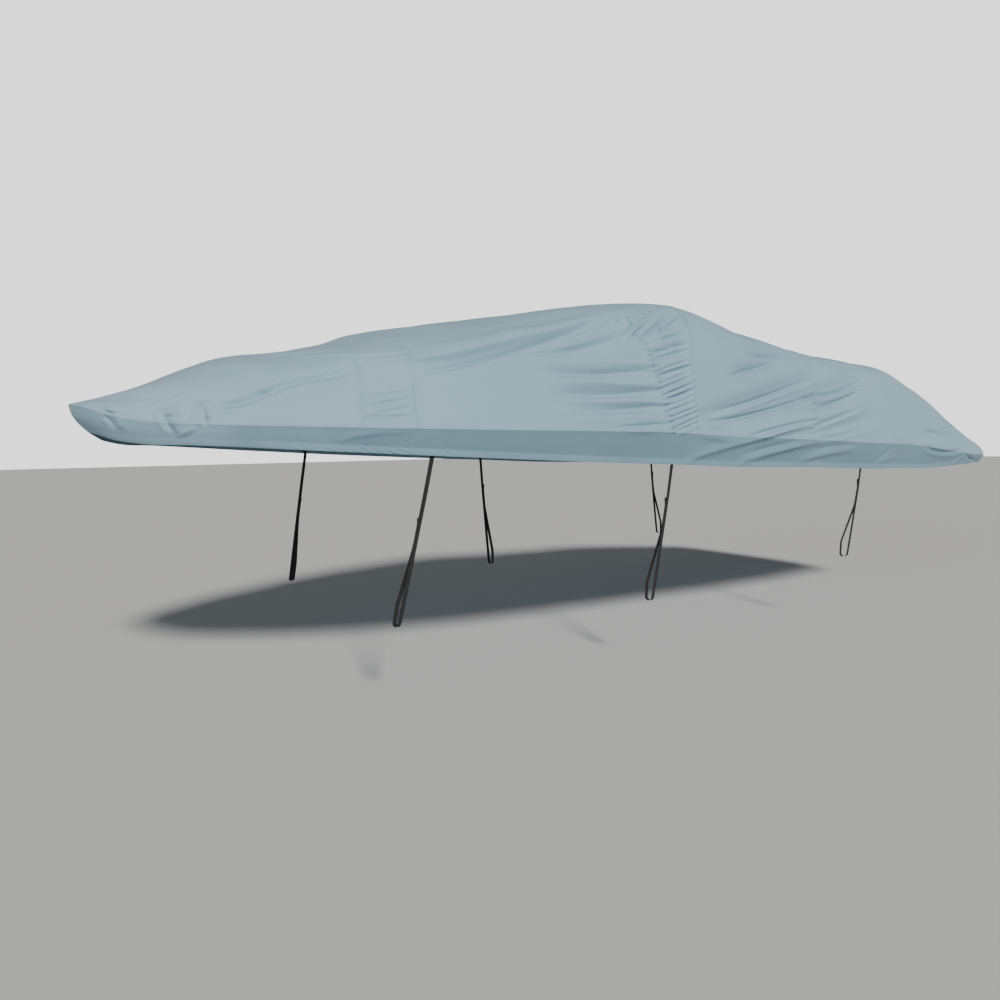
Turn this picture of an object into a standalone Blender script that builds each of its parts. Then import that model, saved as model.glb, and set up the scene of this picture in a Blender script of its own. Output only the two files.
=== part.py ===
"""Fitted boat cover, 7.56 m long: six cross-cut top panels, a skirt on each side, six webbing tie-downs.

The cover keeps the shape in which it is pulled tight.  X runs from the bow to the stern, Y to
starboard and Z up.  The origin is on the centreline, on the inner face of the cloth under its peak.
"""

import collections
import functools
import math

import bmesh
import bpy
import numpy as np


def table(columns, *rows):
    """A short table whose rows are read by the names of their columns."""
    row_type = collections.namedtuple("Row", columns)
    return [row_type(*row) for row in rows]


# ---- driving dimensions, in metres ----
COVER_LENGTH = 7.56
PEAK_STATION = 3.60
PEAK_HEIGHT = 1.281
CLOTH = 0.0026
SEAM_GAP = 0.0003

# plan outline
MAX_HALF_BEAM = 1.25
BOW_LENGTH = 3.40
BOW_BLUNTNESS = 0.62
BOW_FLARE = 2.4
NARROWING_STARTS = 4.60
STERN_NARROWING = 0.07
STERN_CORNER = 0.22
STERN_ROUNDNESS = 3.0

# Height of the gunwale crease over the hem's lowest point, station by station from the bow.
SHEER = table(
    "station height",
    (0.00, 0.490),
    (0.06, 0.465),
    (0.15, 0.425),
    (0.36, 0.380),
    (0.90, 0.355),
    (2.00, 0.328),
    (3.20, 0.308),
    (4.00, 0.270),
    (4.70, 0.250),
    (5.40, 0.220),
    (6.00, 0.200),
    (6.75, 0.135),
    (7.25, 0.092),
    (7.56, 0.080),
)

# The centreline's height and the form of each cross section.  lean is how far inboard of the crease
# the section's shoulder lies, drop is how far the shoulder lies under the ridge, and fullness is how
# closely the cloth follows the shoulder.
SECTIONS = table(
    "station ridge lean drop fullness",
    (0.00, 0.491, 0.00, 0.000, 1.0),
    (0.15, 0.525, 0.05, 0.000, 1.0),
    (0.40, 0.616, 0.10, 0.000, 1.0),
    (0.62, 0.709, 0.13, 0.010, 1.1),
    (0.80, 0.767, 0.16, 0.020, 1.3),
    (1.00, 0.798, 0.16, 0.045, 1.7),
    (1.25, 0.850, 0.16, 0.075, 2.3),
    (1.45, 0.898, 0.15, 0.095, 2.7),
    (1.60, 0.949, 0.15, 0.110, 3.0),
    (2.00, 1.036, 0.15, 0.130, 3.2),
    (2.60, 1.137, 0.15, 0.120, 3.2),
    (3.20, 1.240, 0.14, 0.090, 3.2),
    (3.60, 1.281, 0.12, 0.070, 3.0),
    (4.20, 1.143, 0.10, 0.050, 3.0),
    (4.80, 1.039, 0.09, 0.050, 3.0),
    (5.40, 0.968, 0.08, 0.045, 3.2),
    (5.90, 0.935, 0.08, 0.040, 3.4),
    (6.30, 0.800, 0.08, 0.030, 3.4),
    (6.80, 0.561, 0.08, 0.010, 3.2),
    (7.20, 0.330, 0.06, 0.000, 3.0),
    (7.45, 0.205, 0.03, 0.000, 2.0),
    (7.56, 0.081, 0.00, 0.000, 1.0),
)
ROOF_CROWN = 0.35
LEAST_CROWN = 0.0005
NARROW_HALF_BEAM = 0.50

# How deep the skirt hangs below the gunwale crease, how far its hem is drawn inboard, and how much of
# that lies evenly down its depth; the rest comes near the hem.
SKIRT = table(
    "station depth tuck straight",
    (0.00, 0.152, 0.095, 0.10),
    (0.15, 0.134, 0.070, 0.15),
    (0.50, 0.110, 0.050, 0.40),
    (1.20, 0.129, 0.050, 0.75),
    (2.00, 0.159, 0.055, 0.75),
    (3.40, 0.202, 0.060, 0.75),
    (4.60, 0.203, 0.060, 0.75),
    (5.60, 0.203, 0.060, 0.75),
    (6.20, 0.190, 0.060, 0.75),
    (6.80, 0.130, 0.060, 0.75),
    (7.20, 0.080, 0.060, 0.60),
    (7.56, 0.050, 0.060, 0.50),
)
SKIRT_CURL = 2.5
SKIRT_RIPPLE = 0.003
SKIRT_RIPPLE_WAVE = 0.62

# Cross seams: the station at the gunwale, the station at the centreline, and how late the seam bends.
SEAMS = table(
    "name low top bend",
    ("band_fore", 1.28, 1.38, 1.0),
    ("band_aft", 1.56, 1.62, 1.0),
    ("peak_fore", 3.30, 2.92, 1.3),
    ("peak_aft", 3.52, 3.77, 2.6),
    ("stern_fore", 4.73, 4.95, 1.0),
)

# Top panels from the bow, with the seams each lies between and its columns of faces.  The two end
# panels have their columns at the stations' shares below.
PANELS = table(
    "name fore_seam aft_seam columns",
    ("bow_panel", None, "band_fore", None),
    ("front_band", "band_fore", "band_aft", 4),
    ("cockpit_panel", "band_aft", "peak_fore", 15),
    ("peak_panel", "peak_fore", "peak_aft", 5),
    ("aft_panel", "peak_aft", "stern_fore", 11),
    ("stern_panel", "stern_fore", None, None),
)
BOW_SHARES = (0.0, 0.012, 0.045, 0.10, 0.17, 0.25, 0.35, 0.47, 0.60, 0.73, 0.86, 1.0)
STERN_SHARES = (
    *(0.0, 0.045, 0.09, 0.135, 0.18, 0.225, 0.27, 0.315, 0.36, 0.405, 0.455),
    *(0.54, 0.62, 0.70, 0.78, 0.85, 0.91, 0.95, 0.975, 0.992, 1.0),
)
SECTION_POINTS = 241
SIDE_SHARE = 0.52
SIDE_ROWS = 19
ROOF_ROWS = 4
SKIRT_ROWS = 3
SKIRT_COLUMNS = 26
NORMAL_STEP = 0.004
SHARP_ANGLE = math.radians(50)

# Main folds of the port side, each from one place of the cloth to another.  girth is 0 at the port
# gunwale, 0.5 at the centreline and 1 at the starboard gunwale; rise is negative in a trough.
FOLDS = table(
    "from_station from_girth to_station to_girth half_width rise",
    # the roof edge, pulled taut from the front corner of the roof to the peak
    (1.60, 0.158, 3.00, 0.232, 0.060, 0.021),
    # fan from the peak towards the foot of the front band
    (3.26, 0.244, 1.75, 0.128, 0.048, -0.030),
    (3.04, 0.190, 2.52, 0.146, 0.042, -0.021),
    (3.60, 0.238, 3.12, 0.170, 0.044, -0.021),
    # gathers drawn in by the peak panel
    (2.40, 0.108, 3.26, 0.106, 0.042, -0.026),
    (2.48, 0.070, 3.28, 0.072, 0.042, -0.031),
    (2.62, 0.043, 3.30, 0.044, 0.038, -0.026),
    (3.22, 0.134, 3.50, 0.150, 0.038, -0.023),
    (3.25, 0.096, 3.52, 0.114, 0.038, -0.026),
    (3.30, 0.058, 3.51, 0.072, 0.038, -0.026),
    # creases of the panels aft of the peak, climbing aft
    (3.96, 0.120, 4.42, 0.160, 0.044, -0.023),
    (4.16, 0.160, 4.80, 0.192, 0.044, -0.020),
    (3.54, 0.028, 4.82, 0.136, 0.052, -0.027),
    (3.88, 0.036, 5.42, 0.144, 0.054, -0.029),
    (4.78, 0.064, 5.32, 0.104, 0.044, -0.023),
    (3.98, 0.004, 5.28, 0.074, 0.052, 0.022),
    (4.60, 0.000, 5.50, 0.056, 0.048, -0.021),
    # crease along the bow, and three bumps pushed up from inside there
    (0.74, 0.076, 1.28, 0.140, 0.055, -0.020),
    (0.43, 0.070, 0.43, 0.030, 0.034, 0.021),
    (0.58, 0.080, 0.57, 0.025, 0.032, 0.020),
    (0.18, 0.080, 0.18, 0.030, 0.028, 0.017),
    # crease at the stern corner
    (6.35, 0.030, 7.10, 0.050, 0.040, -0.017),
)
# The starboard side has the same folds a little further aft and a little flatter.
STARBOARD_SHIFT = 0.09
STARBOARD_SHARE = 0.85
FOLD_TAPER = 0.18
FOLD_REACH = 2.5
EDGE_FADE = 0.02
END_FADE = 0.15

# Shallow sags and swells of the whole cloth, in waves along and round it.
SWELLS = table(
    "wave_along wave_girth phase rise",
    (0.83, 0.37, 0.4, 0.0035),
    (0.46, 0.21, 2.1, 0.0025),
)

# Webbing tie-downs.  station is where a strap leaves the hem, drop how far down its loop reaches,
# forward and inboard where the loop lies from there, fork how far down the returning run lies on
# the outer one, as a share of the drop, and tail the length of the free end.
STRAPS = table(
    "name station drop forward inboard fork tail",
    ("fore", 1.665, 0.95, 0.18, 0.10, 0.50, 0.035),
    ("mid", 3.340, 0.92, 0.02, 0.16, 0.40, 0.050),
    ("aft", 5.440, 0.72, 0.01, 0.10, 0.34, 0.060),
)
STRAP_WIDTH = 0.025
STRAP_THICK = 0.0018
STRAP_SEWN = 0.045
STRAP_CLEARANCE = 0.0020
STRAP_STRAIGHT_BY = 0.5
STRAP_LAP_GAP = 0.0012
STRAP_LAPPED = 0.10
LOOP_WIDTH = 0.060
LOOP_CORNER = 0.012
LOOP_HEIGHT = 0.12
LOOP_TAPER = 0.004
FORK_RISE = 0.06
FREE_END_OFF = 0.012
RUN_SHARES = (0.2, 0.4, 0.6, 0.8)

TOP_COLOUR = (0.36, 0.43, 0.46, 1.0)
SKIRT_COLOUR = (0.30, 0.38, 0.41, 1.0)
WEBBING_COLOUR = (0.012, 0.012, 0.014, 1.0)
CLOTH_ROUGHNESS = 0.82
WEBBING_ROUGHNESS = 0.7


def clear_scene():
    for item in list(bpy.data.objects):
        bpy.data.objects.remove(item, do_unlink=True)


def smooth_curve(rows, column, x):
    """A smooth curve with no overshoot through one named column of a table of stations."""
    xs = np.array([row.station for row in rows])
    ys = np.array([getattr(row, column) for row in rows])
    steps = np.diff(ys) / np.diff(xs)
    slopes = np.zeros(len(xs))
    slopes[0] = steps[0]
    slopes[-1] = steps[-1]
    for k in range(1, len(xs) - 1):
        if steps[k - 1] * steps[k] > 0.0:
            slopes[k] = 2.0 * steps[k - 1] * steps[k] / (steps[k - 1] + steps[k])
    x = float(np.clip(x, xs[0], xs[-1]))
    k = int(np.clip(np.searchsorted(xs, x) - 1, 0, len(xs) - 2))
    width = xs[k + 1] - xs[k]
    u = (x - xs[k]) / width
    value = (1 + 2 * u) * (1 - u) ** 2 * ys[k] + u * (1 - u) ** 2 * width * slopes[k]
    return value + u * u * (3 - 2 * u) * ys[k + 1] + u * u * (u - 1) * width * slopes[k + 1]


def half_beam(station):
    """Plan outline: a full bow, a long flank that narrows a little, and rounded stern corners."""
    bow = min(max(station / BOW_LENGTH, 0.0), 1.0)
    beam = MAX_HALF_BEAM * (1 - (1 - bow) ** BOW_FLARE) ** BOW_BLUNTNESS
    aft = max(station - NARROWING_STARTS, 0.0) / (COVER_LENGTH - NARROWING_STARTS)
    beam -= STERN_NARROWING * aft ** 2
    corner = (station - (COVER_LENGTH - STERN_CORNER)) / STERN_CORNER
    if corner > 0:
        beam *= max(1 - corner ** STERN_ROUNDNESS, 0.0) ** (1 / STERN_ROUNDNESS)
    return beam


def gunwale_height(station):
    return smooth_curve(SHEER, "height", station)


@functools.lru_cache(maxsize=None)
def half_section(station):
    """One half section, from gunwale over the shoulder to the ridge, with the length run at each point."""
    beam = half_beam(station)
    low = gunwale_height(station)
    high = max(smooth_curve(SECTIONS, "ridge", station), low + LEAST_CROWN)
    lean = smooth_curve(SECTIONS, "lean", station) * min(1.0, beam / NARROW_HALF_BEAM)
    drop = smooth_curve(SECTIONS, "drop", station)
    fullness = smooth_curve(SECTIONS, "fullness", station)
    t = np.linspace(0.0, 1.0, SECTION_POINTS)
    weights = ((1 - t) ** 3, 3 * fullness * t * (1 - t) ** 2, 3 * t ** 2 * (1 - t), t ** 3)
    across = (beam, beam - lean, ROOF_CROWN * beam, 0.0)
    up = (low, max(high - drop, low), high, high)
    total = sum(weights)
    y = sum(weight * value for weight, value in zip(weights, across)) / total
    z = sum(weight * value for weight, value in zip(weights, up)) / total
    run = np.concatenate(((0.0,), np.cumsum(np.hypot(np.diff(y), np.diff(z)))))
    return y, z, run


def bare_section(station, girth):
    """A point of the cloth before its folds, at a share of the way round from port to starboard."""
    side = -1.0 if girth < 0.5 else 1.0
    y, z, run = half_section(round(station, 7))
    way = (1.0 - abs(2.0 * girth - 1.0)) * run[-1]
    return np.array((station, side * np.interp(way, run, y), np.interp(way, run, z)))


def surface_normal(station, girth):
    """Outward normal of the cloth before its folds; level at the gunwale, where the skirt butts on."""
    fore = max(station - NORMAL_STEP, 0.0)
    aft = min(station + NORMAL_STEP, COVER_LENGTH)
    if girth <= 0.0 or girth >= 1.0:
        run = np.array((aft - fore, half_beam(aft) - half_beam(fore)))
        run /= np.linalg.norm(run)
        side = -1.0 if girth < 0.5 else 1.0
        return np.array((-run[1], side * run[0], 0.0))
    along = bare_section(aft, girth) - bare_section(fore, girth)
    low = max(girth - NORMAL_STEP, 0.0)
    high = min(girth + NORMAL_STEP, 1.0)
    normal = np.cross(along, bare_section(station, high) - bare_section(station, low))
    size = np.linalg.norm(normal)
    if size == 0.0:
        return np.array((0.0, 0.0, 1.0))
    return normal / size


def smooth_step(share):
    share = min(max(share, 0.0), 1.0)
    return share * share * (3 - 2 * share)


def one_fold(fold, starboard, station, girth, reach):
    """How far one fold lifts or sinks the cloth at one place."""
    start, end, rise = fold.from_station, fold.to_station, fold.rise
    start_girth, end_girth = fold.from_girth, fold.to_girth
    if starboard:
        start, end, rise = start + STARBOARD_SHIFT, end + STARBOARD_SHIFT, rise * STARBOARD_SHARE
        start_girth, end_girth = 1 - start_girth, 1 - end_girth
    aft, up = end - start, (end_girth - start_girth) * reach
    place_aft, place_up = station - start, (girth - start_girth) * reach
    length = math.hypot(aft, up)
    along = (aft * place_aft + up * place_up) / length ** 2
    off = abs(aft * place_up - up * place_aft) / length
    if off > FOLD_REACH * fold.half_width:
        return 0.0
    fade = smooth_step(min(along + FOLD_TAPER, 1 + FOLD_TAPER - along) / (2 * FOLD_TAPER))
    return rise * fade * math.exp(-(off / fold.half_width) ** 2)


def fold_rise(station, girth):
    """Sum of the main folds and of the shallow swells at one place of the cloth."""
    reach = 2 * half_section(round(station, 7))[2][-1]
    rise = 0.0
    for fold in FOLDS:
        rise += one_fold(fold, False, station, girth, reach)
        rise += one_fold(fold, True, station, girth, reach)
    for swell in SWELLS:
        turn = 2 * math.pi * (station / swell.wave_along + girth / swell.wave_girth) + swell.phase
        rise += swell.rise * math.sin(turn)
    edge = min(girth, 1 - girth) / EDGE_FADE
    ends = min(station, COVER_LENGTH - station) / END_FADE
    return rise * min(1.0, max(edge, 0.0)) * min(1.0, max(ends, 0.0))


@functools.lru_cache(maxsize=None)
def origin_height():
    """Height of the cloth's inner face at the peak, where the cover is held up from inside."""
    return PEAK_HEIGHT + fold_rise(PEAK_STATION, 0.5) - CLOTH


def to_world(point):
    return (point[0] - PEAK_STATION, point[1], point[2] - origin_height())


def add_face(mesh, corners):
    """A face round its corners, with a corner that comes twice taken once."""
    ring = list(dict.fromkeys(corners))
    if len(ring) > 2:
        mesh.faces.new(ring)


def sheet_body(outer, inner, name, material, pointed_fore=False, pointed_aft=False):
    """Close two grids of points, the outer and the inner face, into one thin solid."""
    columns, rows = len(outer), len(outer[0])
    mesh = bmesh.new()
    grids = []
    for points in (outer, inner):
        verts = []
        for i, column in enumerate(points):
            if (i == 0 and pointed_fore) or (i == columns - 1 and pointed_aft):
                verts.append([mesh.verts.new(to_world(column[rows // 2]))] * rows)
            else:
                verts.append([mesh.verts.new(to_world(point)) for point in column])
        grids.append(verts)
    over, under = grids
    for i in range(columns - 1):
        for j in range(rows - 1):
            add_face(mesh, (over[i][j], over[i + 1][j], over[i + 1][j + 1], over[i][j + 1]))
            add_face(mesh, (under[i][j], under[i][j + 1], under[i + 1][j + 1], under[i + 1][j]))
        add_face(mesh, (over[i + 1][0], over[i][0], under[i][0], under[i + 1][0]))
        add_face(mesh, (over[i][-1], over[i + 1][-1], under[i + 1][-1], under[i][-1]))
    for j in range(rows - 1):
        if not pointed_fore:
            add_face(mesh, (over[0][j], over[0][j + 1], under[0][j + 1], under[0][j]))
        if not pointed_aft:
            add_face(mesh, (over[-1][j + 1], over[-1][j], under[-1][j], under[-1][j + 1]))
    return finish_object(mesh, name, material)


def finish_object(mesh, name, material):
    bmesh.ops.triangulate(mesh, faces=mesh.faces[:])
    bmesh.ops.recalc_face_normals(mesh, faces=mesh.faces[:])
    data = bpy.data.meshes.new(name)
    mesh.to_mesh(data)
    mesh.free()
    data.materials.append(material)
    data.shade_smooth()
    data.set_sharp_from_angle(angle=SHARP_ANGLE)
    item = bpy.data.objects.new(name, data)
    bpy.context.scene.collection.objects.link(item)


def new_material(name, colour, roughness):
    material = bpy.data.materials.new(name)
    material.use_nodes = True
    shader = material.node_tree.nodes["Principled BSDF"]
    shader.inputs["Base Color"].default_value = colour
    shader.inputs["Roughness"].default_value = roughness
    shader.inputs["Metallic"].default_value = 0.0
    return material


def girth_rows():
    """Girths of a panel's rows: close together up the sides, wider over the roof."""
    side = [SIDE_SHARE * k / SIDE_ROWS for k in range(SIDE_ROWS)]
    roof = [SIDE_SHARE + (1 - SIDE_SHARE) * k / ROOF_ROWS for k in range(ROOF_ROWS + 1)]
    port = [share / 2 for share in side + roof]
    return port + [1 - girth for girth in reversed(port[:-1])]


def seam_station(name, girth):
    """A seam's station at a girth, from its ends at the gunwale and at the centreline."""
    seam = next(row for row in SEAMS if row.name == name)
    way = math.sin((1.0 - abs(2.0 * girth - 1.0)) * math.pi / 2)
    return seam.low + (seam.top - seam.low) * way ** seam.bend


def build_top_panel(panel):
    """One cross-cut panel between two seams, from gunwale to gunwale."""
    pointed_fore = panel.fore_seam is None
    pointed_aft = panel.aft_seam is None
    if pointed_fore:
        shares = BOW_SHARES
    elif pointed_aft:
        shares = STERN_SHARES
    else:
        shares = [k / panel.columns for k in range(panel.columns + 1)]
    outer, inner = [], []
    for share in shares:
        outer.append([])
        inner.append([])
        for girth in girth_rows():
            fore = 0.0 if pointed_fore else seam_station(panel.fore_seam, girth)
            aft = COVER_LENGTH if pointed_aft else seam_station(panel.aft_seam, girth)
            station = fore + (aft - fore) * share
            normal = surface_normal(station, girth)
            point = bare_section(station, girth) + normal * fold_rise(station, girth)
            if share == 0 and pointed_fore:
                normal = np.array((-1.0, 0.0, 0.0))
            elif share == 0:
                point[0] += SEAM_GAP / 2
            if share == 1 and pointed_aft:
                normal = np.array((1.0, 0.0, 0.0))
            elif share == 1:
                point[0] -= SEAM_GAP / 2
            outer[-1].append(point)
            inner[-1].append(point - normal * CLOTH)
    material = new_material(panel.name, TOP_COLOUR, CLOTH_ROUGHNESS)
    sheet_body(outer, inner, panel.name, material, pointed_fore, pointed_aft)


@functools.lru_cache(maxsize=None)
def skirt_stations():
    """Stations of the skirt's columns: those of the bow and stern panels and even ones between."""
    fore = seam_station("band_fore", 0.0)
    aft = seam_station("stern_fore", 0.0)
    bow = [share * fore for share in BOW_SHARES]
    middle = [fore + (aft - fore) * k / SKIRT_COLUMNS for k in range(1, SKIRT_COLUMNS)]
    stern = [aft + (COVER_LENGTH - aft) * share for share in STERN_SHARES]
    return bow + middle + stern


def skirt_point(station, drop, side):
    """A point of the skirt: drop runs from 0 at the gunwale crease to 1 at the hem."""
    depth = smooth_curve(SKIRT, "depth", station) * drop
    straight = smooth_curve(SKIRT, "straight", station)
    curl = straight * drop + (1 - straight) * drop ** SKIRT_CURL
    tuck = smooth_curve(SKIRT, "tuck", station) * curl
    outward = surface_normal(station, 0.0)
    wave = math.sin(2 * math.pi * station / SKIRT_RIPPLE_WAVE + side) * math.sin(math.pi * drop)
    y = half_beam(station) - tuck * abs(outward[1]) + SKIRT_RIPPLE * wave
    x = station - tuck * outward[0]
    return np.array((x, side * max(y, 0.0), gunwale_height(station) - depth))


def build_skirt(name, side):
    """The band below the gunwale crease on one side, from the bow seam to the stern seam."""
    outer, inner = [], []
    stations = skirt_stations()
    last = len(stations) - 1
    for k, station in enumerate(stations):
        outward = surface_normal(station, 0.0 if side < 0 else 1.0)
        if k == 0:
            outward = np.array((-1.0, 0.0, 0.0))
        if k == last:
            outward = np.array((1.0, 0.0, 0.0))
        outer.append([])
        inner.append([])
        for j in range(SKIRT_ROWS + 1):
            point = skirt_point(station, j / SKIRT_ROWS, side)
            if k in (0, last):
                point[1] = side * SEAM_GAP / 2
            if j == 0:
                point[2] -= SEAM_GAP
            outer[-1].append(point)
            inner[-1].append(point - outward * CLOTH)
    sheet_body(outer, inner, name, new_material(name, SKIRT_COLOUR, CLOTH_ROUGHNESS))


def skirt_lean(station):
    """How far the skirt's flat lowest row leans outboard for each metre up from the hem."""
    hem = skirt_point(station, 1.0, 1.0)
    above = skirt_point(station, (SKIRT_ROWS - 1) / SKIRT_ROWS, 1.0)
    return (above[1] - hem[1]) / (above[2] - hem[2])


def hem_angle(station):
    """Angle in plan between the hem and the centreline, positive where the hem runs outboard aft."""
    fore = skirt_point(station - STRAP_WIDTH, 1.0, 1.0)
    aft = skirt_point(station + STRAP_WIDTH, 1.0, 1.0)
    return math.atan2(aft[1] - fore[1], aft[0] - fore[0])


def strap_route(strap):
    """The strap's middle line as (inboard, down) pairs: down, round the loop, up to the free end."""
    lean = skirt_lean(strap.station)
    off_cloth = CLOTH + (STRAP_CLEARANCE + STRAP_THICK / 2) * math.hypot(1.0, lean)
    slope = strap.inboard / strap.drop
    inner_run = strap.inboard + LOOP_WIDTH
    lap = STRAP_THICK + STRAP_LAP_GAP
    fork_down = strap.drop * strap.fork
    lap_top = fork_down - STRAP_LAPPED
    end_down = lap_top - strap.tail
    route = [(off_cloth - lean * STRAP_SEWN, -STRAP_SEWN), (off_cloth, 0.0)]
    for share in RUN_SHARES:
        route.append((slope * strap.drop * share, strap.drop * share))
    route.append((strap.inboard, strap.drop - LOOP_CORNER))
    route.append((strap.inboard + LOOP_CORNER, strap.drop))
    route.append((inner_run - LOOP_CORNER, strap.drop))
    route.append((inner_run, strap.drop - LOOP_CORNER))
    route.append((inner_run - LOOP_TAPER, strap.drop - LOOP_HEIGHT))
    route.append((slope * fork_down + lap + FREE_END_OFF, fork_down + FORK_RISE))
    route.append((slope * fork_down + lap, fork_down))
    route.append((slope * lap_top + lap, lap_top))
    route.append((slope * end_down + lap + FREE_END_OFF, end_down))
    return route


def build_strap(name, side, strap):
    """Webbing as a flat band, along the hem where it is sewn on and square to the loop further down."""
    hem = skirt_point(strap.station, 1.0, 1.0)
    sewn_angle = hem_angle(strap.station)
    route = strap_route(strap)
    mesh = bmesh.new()
    rings = []
    for k, (inboard, down) in enumerate(route):
        before = route[max(k - 1, 0)]
        after = route[min(k + 1, len(route) - 1)]
        run = np.array((after[0] - before[0], after[1] - before[1]))
        half_thick = run / np.linalg.norm(run) * STRAP_THICK / 2
        share = max(down, 0.0) / strap.drop
        angle = sewn_angle * max(1.0 - share / STRAP_STRAIGHT_BY, 0.0)
        ring = []
        for edge, face_side in ((-1, -1), (1, -1), (1, 1), (-1, 1)):
            across = edge * STRAP_WIDTH / 2
            x = hem[0] - strap.forward * share + across * math.cos(angle)
            y = side * (hem[1] - inboard + across * math.sin(angle) - face_side * half_thick[1])
            z = hem[2] - down + face_side * half_thick[0]
            ring.append(mesh.verts.new(to_world((x, y, z))))
        rings.append(ring)
    for near, far in zip(rings, rings[1:]):
        for c in range(4):
            d = (c + 1) % 4
            mesh.faces.new((near[c], near[d], far[d], far[c]))
    mesh.faces.new(rings[0])
    mesh.faces.new(rings[-1])
    finish_object(mesh, name, new_material(name, WEBBING_COLOUR, WEBBING_ROUGHNESS))


def build_cover():
    clear_scene()
    for panel in PANELS:
        build_top_panel(panel)
    for word, side in (("port", -1.0), ("starboard", 1.0)):
        build_skirt("skirt_" + word, side)
        for strap in STRAPS:
            build_strap("strap_" + word + "_" + strap.name, side, strap)


build_cover()
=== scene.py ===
import collections
import math

import bpy
import numpy as np
from mathutils import Matrix, Vector, noise


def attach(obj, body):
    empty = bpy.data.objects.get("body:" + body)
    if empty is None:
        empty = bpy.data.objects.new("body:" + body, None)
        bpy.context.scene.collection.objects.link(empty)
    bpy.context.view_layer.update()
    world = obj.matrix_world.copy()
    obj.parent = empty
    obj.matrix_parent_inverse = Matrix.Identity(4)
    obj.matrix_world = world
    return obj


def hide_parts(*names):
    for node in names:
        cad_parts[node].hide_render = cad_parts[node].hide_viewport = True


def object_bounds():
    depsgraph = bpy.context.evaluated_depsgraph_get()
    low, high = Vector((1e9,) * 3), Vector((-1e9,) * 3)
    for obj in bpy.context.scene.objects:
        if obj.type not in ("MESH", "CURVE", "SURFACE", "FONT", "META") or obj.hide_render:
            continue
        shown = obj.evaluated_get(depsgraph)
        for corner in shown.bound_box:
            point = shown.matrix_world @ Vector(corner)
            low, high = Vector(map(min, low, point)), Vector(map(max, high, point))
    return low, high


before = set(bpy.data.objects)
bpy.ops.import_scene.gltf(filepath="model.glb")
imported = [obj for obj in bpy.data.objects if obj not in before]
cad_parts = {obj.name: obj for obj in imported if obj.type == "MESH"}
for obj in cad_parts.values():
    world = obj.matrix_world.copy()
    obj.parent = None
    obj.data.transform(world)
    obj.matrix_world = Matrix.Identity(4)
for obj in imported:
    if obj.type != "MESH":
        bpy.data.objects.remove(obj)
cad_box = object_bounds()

# ---- bow panel ----
# The foremost top panel, cut to a point at the bow from coated polyester and sewn to the band aft of
# it.  All panels are cut to one form, worked out here from sections at stations from the bow.


def table(columns, *rows):
    """A short table whose rows are read by the names of their columns."""
    row_type = collections.namedtuple("Row", columns)
    return [row_type(*row) for row in rows]


bow_tip = cad_box[0].x
cover_length = cad_box[1].x - cad_box[0].x
peak_station = -bow_tip
peak_height = 1.281
cloth_thick = 0.0022
max_half_beam = 1.25
bow_length = 3.40
bow_bluntness = 0.62
bow_flare = 2.4
narrowing_starts = 4.60
stern_narrowing = 0.07
stern_corner = 0.22
stern_roundness = 3.0
roof_crown = 0.35
least_crown = 0.0005
narrow_half_beam = 0.50

# Height of the side crease, where the top panels meet the skirts, over the hem's lowest point.
sheer = table(
    "station height",
    (0.00, 0.490),
    (0.06, 0.465),
    (0.15, 0.425),
    (0.36, 0.380),
    (0.90, 0.355),
    (2.00, 0.328),
    (3.20, 0.308),
    (4.00, 0.270),
    (4.70, 0.250),
    (5.40, 0.220),
    (6.00, 0.200),
    (6.75, 0.135),
    (7.25, 0.092),
    (7.56, 0.080),
)
# The centreline's height, and how far each section's shoulder lies inboard and under the ridge.
sections = table(
    "station ridge lean drop fullness",
    (0.00, 0.491, 0.00, 0.000, 1.0),
    (0.15, 0.525, 0.05, 0.000, 1.0),
    (0.40, 0.616, 0.10, 0.000, 1.0),
    (0.62, 0.709, 0.13, 0.010, 1.1),
    (0.80, 0.767, 0.16, 0.020, 1.3),
    (1.00, 0.798, 0.16, 0.045, 1.7),
    (1.25, 0.850, 0.16, 0.075, 2.3),
    (1.45, 0.898, 0.15, 0.095, 2.7),
    (1.60, 0.949, 0.15, 0.110, 3.0),
    (2.00, 1.036, 0.15, 0.130, 3.2),
    (2.60, 1.137, 0.15, 0.120, 3.2),
    (3.20, 1.240, 0.14, 0.090, 3.2),
    (3.60, 1.281, 0.12, 0.070, 3.0),
    (4.20, 1.143, 0.10, 0.050, 3.0),
    (4.80, 1.039, 0.09, 0.050, 3.0),
    (5.40, 0.968, 0.08, 0.045, 3.2),
    (5.90, 0.935, 0.08, 0.040, 3.4),
    (6.30, 0.800, 0.08, 0.030, 3.4),
    (6.80, 0.561, 0.08, 0.010, 3.2),
    (7.20, 0.330, 0.06, 0.000, 3.0),
    (7.45, 0.205, 0.03, 0.000, 2.0),
    (7.56, 0.081, 0.00, 0.000, 1.0),
)
# Cross seams: where each meets the side crease and the centreline, and how its gathers pucker the cloth.
seams = table(
    "name low top bend pucker wave reach lap",
    ("band_fore", 1.28, 1.38, 1.0, 0.0024, 0.034, 0.026, 0.0012),
    ("band_aft", 1.56, 1.62, 1.0, 0.0026, 0.031, 0.028, 0.0012),
    ("peak_fore", 3.30, 2.92, 1.3, 0.0105, 0.036, 0.034, 0.0012),
    ("peak_aft", 3.52, 3.77, 2.6, 0.0012, 0.052, 0.030, 0.0026),
    ("stern_fore", 4.73, 4.95, 1.0, 0.0056, 0.039, 0.028, 0.0012),
)


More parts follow.
